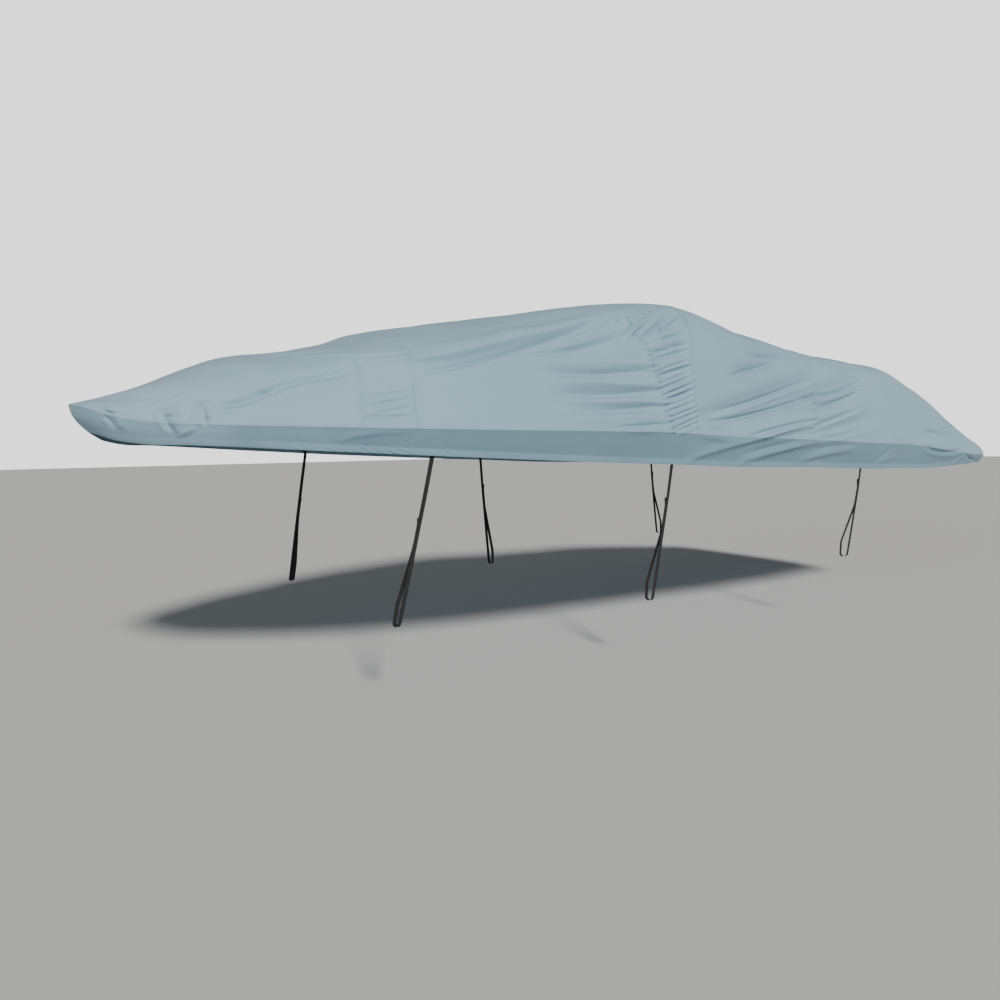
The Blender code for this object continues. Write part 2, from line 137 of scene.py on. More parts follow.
def smooth_curve(rows, column, x):
    """A smooth curve with no overshoot through one column of a table, at an array of stations."""
    xs = np.array([row.station for row in rows])
    ys = np.array([getattr(row, column) for row in rows])
    steps = np.diff(ys) / np.diff(xs)
    slopes = np.zeros(len(xs))
    slopes[0], slopes[-1] = steps[0], steps[-1]
    before, after = steps[:-1], steps[1:]
    same = before * after > 0.0
    slopes[1:-1][same] = 2.0 * (before * after)[same] / (before + after)[same]
    x = np.clip(x, xs[0], xs[-1])
    k = np.clip(np.searchsorted(xs, x) - 1, 0, len(xs) - 2)
    width = xs[k + 1] - xs[k]
    u = (x - xs[k]) / width
    value = (1 + 2 * u) * (1 - u) ** 2 * ys[k] + u * (1 - u) ** 2 * width * slopes[k]
    return value + u * u * (3 - 2 * u) * ys[k + 1] + u * u * (u - 1) * width * slopes[k + 1]


def half_beam(station):
    """Plan outline: a full bow, a long flank that narrows a little, and rounded stern corners."""
    bow = np.clip(station / bow_length, 0.0, 1.0)
    beam = max_half_beam * (1 - (1 - bow) ** bow_flare) ** bow_bluntness
    aft = np.maximum(station - narrowing_starts, 0.0) / (cover_length - narrowing_starts)
    corner = np.clip((station - cover_length + stern_corner) / stern_corner, 0.0, 1.0)
    return (beam - stern_narrowing * aft**2) * (1 - corner**stern_roundness) ** (1 / stern_roundness)


def smooth_step(share):
    """From 0 to 1 with level ends."""
    share = np.clip(share, 0.0, 1.0)
    return share * share * (3 - 2 * share)


# The form is sampled once, closely, and every piece of cloth reads its points from these samples.
along_samples = 1400
tip_samples = 200
section_samples = 401
half_turn = np.linspace(0.0, math.pi, along_samples)
tip_share = np.linspace(0.0, 1.0, tip_samples)
tip_curve = (1 - tip_share**stern_roundness) ** (1 / stern_roundness)
whole_stations = cover_length * (1 - np.cos(half_turn)) / 2
tip_stations = cover_length - stern_corner + stern_corner * tip_curve
form_stations = np.unique(np.round(np.concatenate((whole_stations, tip_stations)), 9))
form_beam = half_beam(form_stations)
form_low = smooth_curve(sheer, "height", form_stations)
form_high = np.maximum(smooth_curve(sections, "ridge", form_stations), form_low + least_crown)
form_lean = smooth_curve(sections, "lean", form_stations) * np.minimum(1.0, form_beam / narrow_half_beam)
form_drop = smooth_curve(sections, "drop", form_stations)
form_fullness = smooth_curve(sections, "fullness", form_stations)
form_shoulder = np.maximum(form_high - form_drop, form_low)
sweep = np.linspace(0.0, 1.0, section_samples)[:, None]
pulls = (
    (1 - sweep) ** 3,
    3 * form_fullness * sweep * (1 - sweep) ** 2,
    3 * sweep**2 * (1 - sweep),
    sweep**3 * np.ones_like(form_beam),
)
across = (form_beam, form_beam - form_lean, roof_crown * form_beam, 0 * form_beam)
upward = (form_low, form_shoulder, form_high, form_high)
section_y = sum(pull * value for pull, value in zip(pulls, across)) / sum(pulls)
section_z = sum(pull * value for pull, value in zip(pulls, upward)) / sum(pulls)
section_run = np.zeros_like(section_y)
section_run[1:] = np.cumsum(np.hypot(np.diff(section_y, axis=0), np.diff(section_z, axis=0)), axis=0)
form_reach = section_run[-1]
even = np.linspace(0.0, 1.0, section_samples)
form_y = np.stack([np.interp(even * r[-1], r, y) for r, y in zip(section_run.T, section_y.T)])
form_z = np.stack([np.interp(even * r[-1], r, z) for r, z in zip(section_run.T, section_z.T)])
outline_run = np.zeros(len(form_stations))
outline_run[1:] = np.cumsum(np.hypot(np.diff(form_stations), np.diff(form_beam)))


def on_form(station, girth):
    """Points of the smooth cloth; girth runs from 0 at the port crease to 1 at the starboard one."""
    k = np.clip(np.searchsorted(form_stations, station) - 1, 0, len(form_stations) - 2)
    u = (station - form_stations[k]) / (form_stations[k + 1] - form_stations[k])
    way = (1.0 - np.abs(2.0 * girth - 1.0)) * (section_samples - 1)
    w = np.clip(way.astype(int), 0, section_samples - 2)
    v = way - w
    place = [station]
    for grid in (form_y, form_z):
        fore = grid[k, w] * (1 - v) + grid[k, w + 1] * v
        aft = grid[k + 1, w] * (1 - v) + grid[k + 1, w + 1] * v
        place.append(fore * (1 - u) + aft * u)
    place[1] = np.where(girth < 0.5, -1.0, 1.0) * place[1]
    return np.stack(place, axis=-1)


outline_step = 0.003
form_step = 0.004
crease_roll = 0.05


def level_outward(station, side):
    """Level direction square to the plan outline, away from the cover."""
    fore = np.maximum(station - outline_step, 0.0)
    aft = np.minimum(station + outline_step, cover_length)
    run = np.stack((aft - fore, half_beam(aft) - half_beam(fore)), axis=-1)
    run /= np.linalg.norm(run, axis=-1, keepdims=True)
    return np.stack((-run[..., 1], side * run[..., 0], 0 * run[..., 0]), axis=-1)


def out_of_form(station, girth, up):
    """Direction out of the cloth, turning level at the side crease so that panel and skirt agree there."""
    along = on_form(np.minimum(station + form_step, cover_length), girth)
    along -= on_form(np.maximum(station - form_step, 0.0), girth)
    around = on_form(station, np.minimum(girth + form_step, 1.0))
    around -= on_form(station, np.maximum(girth - form_step, 0.0))
    normal = np.cross(along, around)
    size = np.linalg.norm(normal, axis=-1, keepdims=True)
    normal = np.where(size > 0.0, normal / np.where(size > 0.0, size, 1.0), (0.0, 0.0, 1.0))
    side = np.where(girth < 0.5, -1.0, 1.0)
    level = smooth_step(1.0 - up / crease_roll)[..., None]
    normal = normal * (1 - level) + level_outward(station, side) * level
    return normal / np.linalg.norm(normal, axis=-1, keepdims=True)


# Main folds, as the solids have them, by girth.  The starboard side has them further aft and flatter.
folds = table(
    "from_station from_girth to_station to_girth half_width rise",
    (1.60, 0.158, 3.00, 0.232, 0.060, 0.021),
    (3.26, 0.244, 1.75, 0.128, 0.048, -0.030),
    (3.04, 0.190, 2.52, 0.146, 0.042, -0.021),
    (3.60, 0.238, 3.12, 0.170, 0.044, -0.021),
    (2.40, 0.108, 3.26, 0.106, 0.042, -0.026),
    (2.48, 0.070, 3.28, 0.072, 0.042, -0.031),
    (2.62, 0.043, 3.30, 0.044, 0.038, -0.026),
    (3.22, 0.134, 3.50, 0.150, 0.038, -0.023),
    (3.25, 0.096, 3.52, 0.114, 0.038, -0.026),
    (3.30, 0.058, 3.51, 0.072, 0.038, -0.026),
    (3.96, 0.120, 4.42, 0.160, 0.044, -0.023),
    (4.16, 0.160, 4.80, 0.192, 0.044, -0.020),
    (3.54, 0.028, 4.82, 0.136, 0.052, -0.027),
    (3.88, 0.036, 5.42, 0.144, 0.054, -0.029),
    (4.78, 0.064, 5.32, 0.104, 0.044, -0.023),
    (3.98, 0.004, 5.28, 0.074, 0.052, 0.022),
    (4.60, 0.000, 5.50, 0.056, 0.048, -0.021),
    (0.74, 0.076, 1.28, 0.140, 0.055, -0.020),
    (0.43, 0.070, 0.43, 0.030, 0.034, 0.021),
    (0.58, 0.080, 0.57, 0.025, 0.032, 0.020),
    (0.18, 0.080, 0.18, 0.030, 0.028, 0.017),
    (6.35, 0.030, 7.10, 0.050, 0.040, -0.017),
)
starboard_shift = 0.09
starboard_share = 0.85
fold_taper = 0.18
fold_edge = 0.02
fold_ends = 0.15
swells = table(
    "wave_along wave_girth phase rise",
    (0.83, 0.37, 0.4, 0.0035),
    (0.46, 0.21, 2.1, 0.0025),
)


def fold_lift(station, girth):
    """Height of the main folds and shallow swells, the same as in the solids."""
    reach = 2 * np.interp(station, form_stations, form_reach)
    lift = np.zeros_like(station)
    for starboard in (False, True):
        shift = starboard_shift if starboard else 0.0
        share = starboard_share if starboard else 1.0
        for fold in folds:
            start_girth = 1 - fold.from_girth if starboard else fold.from_girth
            end_girth = 1 - fold.to_girth if starboard else fold.to_girth
            aft = fold.to_station - fold.from_station
            over = (end_girth - start_girth) * reach
            place_aft = station - fold.from_station - shift
            place_over = (girth - start_girth) * reach
            length = np.hypot(aft, over)
            along = (aft * place_aft + over * place_over) / length**2
            off = (aft * place_over - over * place_aft) / length
            fade = smooth_step(np.minimum(along + fold_taper, 1 + fold_taper - along) / (2 * fold_taper))
            lift += share * fold.rise * fade * np.exp(-((off / fold.half_width) ** 2))
    for swell in swells:
        turn = 2 * math.pi * (station / swell.wave_along + girth / swell.wave_girth) + swell.phase
        lift += swell.rise * np.sin(turn)
    edge = np.clip(np.minimum(girth, 1 - girth) / fold_edge, 0.0, 1.0)
    ends = np.clip(np.minimum(station, cover_length - station) / fold_ends, 0.0, 1.0)
    return lift * edge * ends


# Creases of the port side: each bends through three places, given as the station and the
# way up the cloth from the side crease, negative down the skirt.  A trough has a negative rise.
creases = table(
    "station_1 up_1 station_2 up_2 station_3 up_3 half_width rise",
    # bow: the folded point, the three bumps and the long crease
    (0.135, -0.004, 0.158, -0.030, 0.162, -0.068, 0.012, -0.010),
    (0.185, 0.024, 0.196, -0.020, 0.196, -0.066, 0.013, 0.010),
    (0.20, 0.033, 0.26, 0.097, 0.33, 0.165, 0.020, 0.005),
    (0.398, 0.050, 0.396, 0.000, 0.424, -0.042, 0.013, -0.013),
    (0.448, 0.074, 0.440, 0.012, 0.444, -0.052, 0.014, 0.017),
    (0.43, -0.070, 0.48, -0.042, 0.52, -0.014, 0.013, 0.010),
    (0.566, 0.102, 0.562, 0.048, 0.558, -0.010, 0.012, -0.014),
    (0.528, 0.080, 0.528, 0.040, 0.524, -0.006, 0.014, 0.009),
    (0.60, 0.112, 0.72, 0.136, 0.86, 0.218, 0.020, -0.017),
    (0.80, 0.186, 1.00, 0.284, 1.36, 0.376, 0.022, -0.019),
    (0.80, 0.196, 0.86, 0.216, 0.93, 0.234, 0.020, -0.015),
    (0.30, 0.100, 0.38, 0.160, 0.52, 0.215, 0.012, -0.004),
    (0.24, 0.090, 0.30, 0.150, 0.42, 0.210, 0.011, -0.004),
    # front band
    (1.28, 0.044, 1.38, 0.071, 1.56, 0.065, 0.012, -0.012),
    (1.29, 0.154, 1.40, 0.190, 1.57, 0.208, 0.012, -0.008),
    (1.29, 0.114, 1.42, 0.145, 1.56, 0.173, 0.012, -0.008),
    (1.36, 0.090, 1.46, 0.104, 1.56, 0.130, 0.010, -0.006),
    (1.33, 0.290, 1.42, 0.279, 1.55, 0.301, 0.014, -0.005),
    (1.31, 0.232, 1.42, 0.240, 1.57, 0.256, 0.011, -0.004),
    # the roof's edge and the fan that the peak draws over the side
    (1.26, 0.488, 1.42, 0.458, 1.60, 0.452, 0.014, -0.012),
    (1.30, 0.436, 1.62, 0.408, 2.14, 0.548, 0.022, 0.015),
    (1.90, 0.470, 2.55, 0.668, 3.34, 0.930, 0.020, 0.016),
    (1.62, 0.326, 2.40, 0.577, 3.36, 0.998, 0.016, -0.019),
    (2.36, 0.556, 2.84, 0.712, 3.34, 0.922, 0.017, -0.016),
    (2.22, 0.445, 2.74, 0.566, 3.16, 0.730, 0.014, -0.016),
    (2.30, 0.530, 2.78, 0.700, 3.30, 0.930, 0.011, -0.010),
    (3.02, 0.652, 3.16, 0.750, 3.36, 0.906, 0.014, -0.013),
    (3.02, 0.552, 3.15, 0.680, 3.46, 0.900, 0.014, -0.014),
    (3.12, 0.598, 3.30, 0.727, 3.53, 0.900, 0.013, -0.013),
    (3.26, 0.622, 3.39, 0.737, 3.59, 0.894, 0.013, -0.012),
    (3.56, 0.760, 3.60, 0.830, 3.62, 0.930, 0.012, -0.009),
    # troughs that the gathered seam draws into the side
    (2.40, 0.356, 2.80, 0.371, 3.20, 0.412, 0.021, -0.013),
    (2.60, 0.338, 2.95, 0.334, 3.22, 0.338, 0.016, -0.009),
    (2.44, 0.226, 2.86, 0.239, 3.22, 0.280, 0.023, -0.014),
    (3.05, 0.217, 3.16, 0.220, 3.27, 0.223, 0.012, -0.007),
    (2.52, 0.104, 2.90, 0.142, 3.28, 0.180, 0.023, -0.014),
    (3.03, 0.115, 3.16, 0.124, 3.28, 0.133, 0.011, -0.007),
    (2.80, 0.022, 3.06, 0.043, 3.31, 0.060, 0.017, -0.016),
    (2.38, 0.180, 2.50, 0.155, 2.66, 0.118, 0.018, -0.005),
    (2.90, 0.480, 3.04, 0.470, 3.16, 0.480, 0.014, -0.005),
    # short gathers across the peak panel
    (3.24, 0.606, 3.38, 0.640, 3.55, 0.696, 0.013, -0.013),
    (3.19, 0.466, 3.34, 0.518, 3.54, 0.568, 0.014, -0.011),
    (3.20, 0.360, 3.36, 0.412, 3.55, 0.466, 0.013, -0.013),
    (3.20, 0.272, 3.36, 0.330, 3.55, 0.402, 0.013, -0.018),
    (3.22, 0.214, 3.38, 0.250, 3.55, 0.312, 0.012, -0.013),
    (3.25, 0.136, 3.40, 0.180, 3.55, 0.232, 0.012, -0.014),
    (3.26, 0.062, 3.40, 0.108, 3.55, 0.158, 0.012, -0.016),
    (3.28, -0.004, 3.40, 0.038, 3.55, 0.086, 0.011, -0.014),
    (3.36, 0.572, 3.45, 0.594, 3.55, 0.622, 0.012, -0.012),
    (3.18, 0.512, 3.28, 0.540, 3.40, 0.572, 0.012, -0.010),
    (3.24, 0.405, 3.38, 0.452, 3.55, 0.508, 0.010, -0.009),
    (3.22, 0.316, 3.37, 0.370, 3.55, 0.440, 0.010, -0.010),
    (3.24, 0.243, 3.38, 0.288, 3.55, 0.356, 0.010, -0.010),
    (3.26, 0.175, 3.40, 0.214, 3.55, 0.272, 0.010, -0.009),
    (3.28, 0.099, 3.42, 0.145, 3.55, 0.194, 0.010, -0.010),
    (3.30, 0.030, 3.42, 0.074, 3.55, 0.120, 0.010, -0.010),
    (3.24, 0.672, 3.38, 0.716, 3.54, 0.762, 0.011, -0.009),
    (3.30, 0.628, 3.42, 0.662, 3.54, 0.702, 0.009, -0.007),
    # creases aft of the peak
    (4.06, 0.715, 4.18, 0.675, 4.30, 0.640, 0.030, 0.006),
    (4.08, 0.582, 4.40, 0.622, 4.72, 0.668, 0.017, -0.014),
    (3.86, 0.410, 4.16, 0.498, 4.48, 0.580, 0.017, -0.018),
    (3.70, 0.160, 4.22, 0.295, 4.86, 0.480, 0.016, -0.020),
    (3.56, 0.085, 4.16, 0.182, 5.00, 0.384, 0.017, -0.027),
    (3.74, 0.080, 4.06, 0.118, 4.40, 0.196, 0.014, -0.010),
    (4.66, 0.312, 5.10, 0.385, 5.54, 0.526, 0.018, -0.027),
    (4.57, 0.197, 4.68, 0.210, 4.80, 0.230, 0.012, -0.008),
    (4.72, 0.196, 5.10, 0.315, 5.46, 0.426, 0.015, -0.017),
    (4.72, 0.088, 5.05, 0.185, 5.40, 0.282, 0.015, -0.016),
    (3.54, -0.014, 3.72, -0.022, 3.92, -0.040, 0.022, 0.009),
    (3.92, -0.020, 4.36, 0.082, 4.82, 0.152, 0.017, -0.019),
    (3.44, -0.185, 3.94, -0.040, 4.70, 0.104, 0.026, 0.021),
    (3.92, -0.190, 4.40, -0.080, 4.86, -0.006, 0.026, 0.021),
    (3.98, -0.120, 4.30, -0.052, 4.60, -0.012, 0.016, -0.012),
    (4.64, 0.000, 5.10, 0.052, 5.58, 0.168, 0.015, -0.016),
    (4.60, -0.168, 4.92, -0.104, 5.28, -0.064, 0.022, 0.015),
    (4.70, -0.084, 4.96, -0.044, 5.30, -0.014, 0.016, -0.008),
    (5.58, -0.165, 5.70, -0.090, 5.84, -0.020, 0.012, -0.009),
    (5.68, -0.165, 5.78, -0.128, 5.90, -0.098, 0.016, 0.009),
    (4.90, 0.600, 5.20, 0.560, 5.52, 0.545, 0.022, 0.010),
    (4.98, 0.690, 5.30, 0.660, 5.66, 0.620, 0.024, -0.009),
    # stern
    (6.30, 0.158, 6.44, 0.139, 6.64, 0.150, 0.016, -0.013),
    (6.24, 0.018, 6.58, -0.020, 7.00, 0.032, 0.018, -0.018),
    (6.82, -0.085, 6.92, -0.045, 7.02, 0.000, 0.013, -0.009),
    (7.02, -0.004, 7.16, -0.040, 7.34, -0.066, 0.013, -0.010),
    (6.42, 0.360, 6.48, 0.340, 6.56, 0.320, 0.020, -0.005),
    (6.24, 0.250, 6.50, 0.262, 6.80, 0.240, 0.020, -0.006),
    # skirt
    (1.16, -0.084, 1.30, -0.036, 1.54, -0.020, 0.018, 0.006),
    # the roof, and the level stretches fore and aft of it
    (3.46, 1.300, 2.90, 1.160, 2.20, 0.960, 0.034, -0.008),
    (3.48, 1.560, 2.95, 1.470, 2.35, 1.330, 0.034, -0.006),
    (3.30, 1.080, 2.70, 0.930, 2.10, 0.800, 0.028, -0.007),
    (3.70, 1.150, 4.10, 1.020, 4.60, 0.960, 0.034, -0.010),
    (3.74, 1.560, 4.20, 1.400, 4.80, 1.330, 0.036, -0.008),
    (3.66, 0.920, 3.90, 0.840, 4.20, 0.790, 0.026, -0.008),
    (5.26, 1.560, 5.72, 1.330, 6.02, 0.930, 0.050, -0.004),
    (6.06, 1.460, 6.44, 1.120, 6.92, 0.960, 0.048, -0.004),
    (6.02, 0.900, 6.34, 0.690, 6.78, 0.560, 0.036, -0.005),
    (1.70, 1.250, 2.00, 1.000, 2.10, 0.760, 0.034, -0.006),
    (0.90, 0.720, 1.10, 0.620, 1.34, 0.560, 0.026, -0.006),
)
crease_steps = 10
crease_gain = 1.35
crease_power = 1.6
crease_fade = 0.7
crease_margin = 4
trough_upper = 0.78
trough_lower = 1.15
trough_lip = 0.45
trough_lip_place = 2.0
ridge_upper = 1.35
ridge_lower = 0.75
far_off = 1e9
# How far a crease to starboard strays from its twin: low down, more on the roof, and the turn per row.
roof_starts = 0.6
strays = table(
    "low_down on_roof turn",
    (0.20, 0.40, 2.3),
    (0.05, 0.25, 1.7),
    (0.02, 0.15, 3.1),
)


def crease_line(number, row, starboard):
    """The bent line of one crease, as points of station and way up, and its strength."""
    places = np.array(row[:6]).reshape(3, 2)
    strength = 1.0
    if starboard:
        high = min(max(row.up_1 - roof_starts, 0.0), 1.0)
        off = [(stray.low_down + stray.on_roof * high) * math.sin(stray.turn * number) for stray in strays]
        strength = starboard_share + off[0]
        places = places + (starboard_shift + off[1], off[2])
    first, middle, last = places
    pull = 2 * middle - (first + last) / 2
    t = np.linspace(0.0, 1.0, crease_steps + 1)[:, None]
    return (1 - t) ** 2 * first + 2 * t * (1 - t) * pull + t * t * last, strength


def crease_lift(station, up, starboard):
    """Height of the creases: a trough, steep above and with a lip below, or a raised fold."""
    lift = np.zeros_like(station)
    for number, row in enumerate(creases):
        line, strength = crease_line(number, row, starboard)
        low = line.min(axis=0) - crease_margin * row.half_width
        high = line.max(axis=0) + crease_margin * row.half_width
        near = (station > low[0]) & (station < high[0]) & (up > low[1]) & (up < high[1])
        if not near.any():
            continue
        x, y = station[near], up[near]
        best = np.full(len(x), far_off)
        off = np.zeros(len(x))
        way = np.zeros(len(x))
        for k in range(crease_steps):
            run = line[k + 1] - line[k]
            along = ((x - line[k][0]) * run[0] + (y - line[k][1]) * run[1]) / np.hypot(*run) ** 2
            held = np.clip(along, 0.0, 1.0)
            away = np.hypot(x - line[k][0] - held * run[0], y - line[k][1] - held * run[1])
            side = run[0] * (y - line[k][1]) - run[1] * (x - line[k][0])
            closer = away < best
            best[closer] = away[closer]
            off[closer] = (np.sign(side) * away)[closer]
            way[closer] = ((k + held) / crease_steps)[closer]
        aftward = 1.0 if line[-1][0] >= line[0][0] else -1.0
        t = aftward * off / row.half_width
        if row.rise < 0.0:
            wall = np.where(t > 0.0, trough_upper, trough_lower)
            lip = trough_lip * np.exp(-((t + trough_lip_place) ** 2))
        else:
            wall = np.where(t > 0.0, ridge_upper, ridge_lower)
            lip = 0.0
        shape = np.exp(-np.abs(t / wall) ** crease_power) - lip
        fade = np.maximum(np.sin(math.pi * way), 0.0) ** crease_fade
        lift[near] += crease_gain * strength * row.rise * fade * shape
    return lift


def seam_station(seam, girth):
    """The station at which a cross seam passes each girth."""
    way = np.sin((1.0 - np.abs(2.0 * girth - 1.0)) * math.pi / 2)
    return seam.low + (seam.top - seam.low) * way**seam.bend


wander_slice = 0.37


def wander(x, y, scale):
    """A gentle random wander between -1 and 1, the same at the same place on every run."""
    places = zip(x.ravel() / scale, y.ravel() / scale)
    return np.array([noise.noise(Vector((a, b, wander_slice))) for a, b in places]).reshape(x.shape)


seam_near = 0.25
gather_climb = 0.30
gather_top = 0.72
gather_eases = 0.8
gather_ease_over = 0.35
gather_second = 0.3
gather_size, gather_size_stray, gather_size_scale = 0.65, 0.7, 0.19
gather_turn_stray, gather_turn_scale = 5.0, 0.11
gather_reach_stray, gather_reach_scale = 0.6, 0.07
lap_width = 0.020
lap_edge = 0.0015
# how far apart the wanders of the two sides and of the seams are read
turn_apart, size_apart, seam_apart = 3.0, 5.0, 7.0


def seam_lift(station, girth, up, side):
    """Gathers along the cross seams, and the flat lap that is sewn down on the aft side of each."""
    lift = np.zeros_like(station)
    for seam in seams:
        off = station - seam_station(seam, girth)
        near = np.abs(off) < seam_near
        if not near.any():
            continue
        off = off[near]
        u, s, still = up[near], side[near], 0 * up[near]
        stray = wander(u + turn_apart * s, still + seam.low, gather_turn_scale)
        size = wander(u - size_apart * s, still + seam.top, gather_size_scale)
        size = gather_size + gather_size_stray * size
        reach = wander(u, still + seam_apart * seam.low, gather_reach_scale)
        reach = seam.reach * (1.0 + gather_reach_stray * reach)
        climb = np.where(off > 0.0, gather_climb, 0.0) * off
        turn = 2 * math.pi * (u - climb) / seam.wave + gather_turn_stray * stray
        low_down = 1.0 - gather_eases * smooth_step((u - gather_top) / gather_ease_over)
        gather = (np.sin(turn) - gather_second * np.cos(2 * turn)) * np.exp(-np.abs(off) / reach)
        lift[near] += seam.pucker * size * low_down * gather
        lift[near] += seam.lap * smooth_step(off / lap_edge) * smooth_step((lap_width - off) / lap_edge)
    return lift


# Unevenness of the cloth at three scales.
unevenness = table("scale rise", (0.34, 0.0030), (0.13, 0.0013), (0.055, 0.0005))
uneven_apart = 4.0
ends_eased = 0.10


def uneven_lift(station, up, side):
    """The cloth's own slight unevenness."""
    lift = np.zeros_like(station)
    for layer in unevenness:
        lift += layer.rise * wander(station, up * side + uneven_apart * layer.scale, layer.scale)
    return lift


def end_ease(station):
    """1 over the cover's length, falling to 0 at the bow's point and at the stern."""
    return np.clip(np.minimum(station, cover_length - station) / ends_eased, 0.0, 1.0)


def whole_lift(station, girth, up):
    """How far the cloth stands out of its smooth form at each place."""
    side = np.where(girth < 0.5, -1.0, 1.0)
    lift = fold_lift(station, girth) + seam_lift(station, girth, up, side)
    for starboard in (False, True):
        half = side > 0 if starboard else side < 0
        lift[half] += crease_lift(station[half], up[half], starboard)
    return lift + uneven_lift(station, up, side) * end_ease(station)


peak_place = np.array((peak_station,))
peak_middle = np.array((0.5,))
height_zero = peak_height + fold_lift(peak_place, peak_middle)[0] - cad_box[1].z


def in_frame(points):
    """From station and height over the hem to the frame's own axes."""
    return points + np.array((bow_tip, 0.0, -height_zero))


weld = 0.0003
smooth_up_to = 50


def lay_cloth(name, columns, rows, place, material):
    """Add a flat grid, give it its thickness, and put its outer and inner points where place says."""
    bpy.ops.object.select_all(action="DESELECT")
    bpy.ops.mesh.primitive_grid_add(x_subdivisions=columns, y_subdivisions=rows, size=1.0)
    piece = bpy.context.object
    piece.name = name
    piece.data.name = name
    flat = np.empty(3 * len(piece.data.vertices))
    piece.data.vertices.foreach_get("co", flat)
    flat = flat.reshape(-1, 3) + 0.5
    i = np.rint(flat[:, 0] * columns).astype(int)
    j = np.rint(flat[:, 1] * rows).astype(int)
    outer, inner, around, along, seam_off, edge_off = place(i, j)
    marks = {"around": around, "along": along, "seam_off": seam_off, "edge_off": edge_off}
    for label, values in marks.items():
        mark = piece.data.attributes.new(label, "FLOAT", "POINT")
        mark.data.foreach_set("value", values.astype(np.float32))
    thick = piece.modifiers.new("thickness", "SOLIDIFY")
    thick.thickness = cloth_thick / cover_length
    thick.offset = -1.0
    bpy.ops.object.modifier_apply(modifier=thick.name)
    both = np.concatenate((outer, inner)).astype(np.float32)
    piece.data.vertices.foreach_set("co", both.ravel())
    piece.data.update()
    bpy.ops.object.mode_set(mode="EDIT")
    bpy.ops.mesh.select_all(action="SELECT")
    bpy.ops.mesh.remove_doubles(threshold=weld)
    bpy.ops.mesh.normals_make_consistent(inside=False)
    bpy.ops.object.mode_set(mode="OBJECT")
    bpy.ops.object.shade_smooth_by_angle(angle=math.radians(smooth_up_to))
    piece.data.materials.clear()
    piece.data.materials.append(material)
    lay_out_uv(piece)
    return piece


def lay_out_uv(piece):
    """UV in metres along and around the cloth, so that the weave and the stitches follow it."""
    mesh = piece.data
    corner = np.empty(len(mesh.loops), dtype=np.int32)
    mesh.loops.foreach_get("vertex_index", corner)
    uv = np.empty((len(corner), 2), dtype=np.float32)
    for k, label in enumerate(("along", "around")):
        values = np.empty(len(mesh.vertices), dtype=np.float32)
        mesh.attributes[label].data.foreach_get("value", values)
        uv[:, k] = values[corner]
    mesh.uv_layers.active.data.foreach_set("uv", uv.ravel())


# How far a panel's first columns stand from a sewn edge, close at the lap's two sides.
edge_steps = np.array((0.0, 0.0015, 0.005, 0.010, 0.015, 0.0185, 0.020, 0.026, 0.034, 0.044))


def panel_stations(fore, aft, columns, fore_sewn, aft_sewn):
    """Stations of each column of a panel, with the columns close together beside a sewn edge."""
    fore_in = edge_steps if fore_sewn else edge_steps[:1]
    aft_in = edge_steps if aft_sewn else edge_steps[:1]
    middle = columns + 1 - len(fore_in) - len(aft_in)
    result = []
    for k in range(columns + 1):
        if k < len(fore_in):
            result.append(fore + fore_in[k])
        elif columns - k < len(aft_in):
            result.append(aft - aft_in[columns - k])
        else:
            share = (k - len(fore_in) + 1) / (middle + 1)
            start, end = fore + fore_in[-1], aft - aft_in[-1]
            result.append(start + (end - start) * share)
    return np.array(result)


seam_gap = 0.0003
side_closeness = 0.62


def row_girths(rows):
    """Girths of a panel's rows: close together up the sides, wider over the ridge."""
    share = np.arange(rows + 1) / rows
    way = 1.0 - np.abs(2.0 * share - 1.0)
    half = 0.5 * (side_closeness * way + (1 - side_closeness) * way**3)
    return np.where(share < 0.5, half, 1.0 - half)


def panel_place(columns, rows, fore_seam, aft_seam):
    """The place function of a top panel between two cross seams, or from the bow or to the stern."""
    by_name = {seam.name: seam for seam in seams}

    def place(i, j):
        girth_list = row_girths(rows)
        stations = np.empty((columns + 1, rows + 1))
        for row, girth in enumerate(girth_list):
            fore = seam_station(by_name[fore_seam], girth) + seam_gap / 2 if fore_seam else 0.0
            aft = seam_station(by_name[aft_seam], girth) - seam_gap / 2 if aft_seam else cover_length
            if fore_seam and aft_seam:
                stations[:, row] = panel_stations(fore, aft, columns, True, True)
            else:
                ends = np.interp((fore, aft), form_stations, outline_run)
                runs = panel_stations(ends[0], ends[1], columns, bool(fore_seam), bool(aft_seam))
                stations[:, row] = np.interp(runs, outline_run, form_stations)
        station = stations[i, j]
        girth = girth_list[j]
        reach = 2 * np.interp(station, form_stations, form_reach)
        up = np.minimum(girth, 1 - girth) * reach
        out = out_of_form(station, girth, up)
        outer = on_form(station, girth) + out * whole_lift(station, girth, up)[:, None]
        ends_off = [np.full(len(station), 1.0)]
        if fore_seam:
            ends_off.append(station - seam_station(by_name[fore_seam], girth))
        if aft_seam:
            ends_off.append(seam_station(by_name[aft_seam], girth) - station)
        seam_off = np.min(ends_off, axis=0)
        inner = outer - out * cloth_thick
        around = (girth - 0.5) * reach
        return in_frame(outer), in_frame(inner), around, station, seam_off, up

    return place


def new_material(name, roughness, sheen, specular):
    """A material with its plain values, its node tree and its shader."""
    material = bpy.data.materials.new(name)
    material.use_nodes = True
    shader = material.node_tree.nodes["Principled BSDF"]
    shader.inputs["Roughness"].default_value = roughness
    shader.inputs["Sheen Weight"].default_value = sheen
    shader.inputs["Specular IOR Level"].default_value = specular
    return material, material.node_tree, shader


def feed(tree, socket, item):
    """Give a socket a plain value, or link another node to it."""
    if isinstance(item, (int, float, tuple)):
        socket.default_value = item
    else:
        tree.links.new(item, socket)


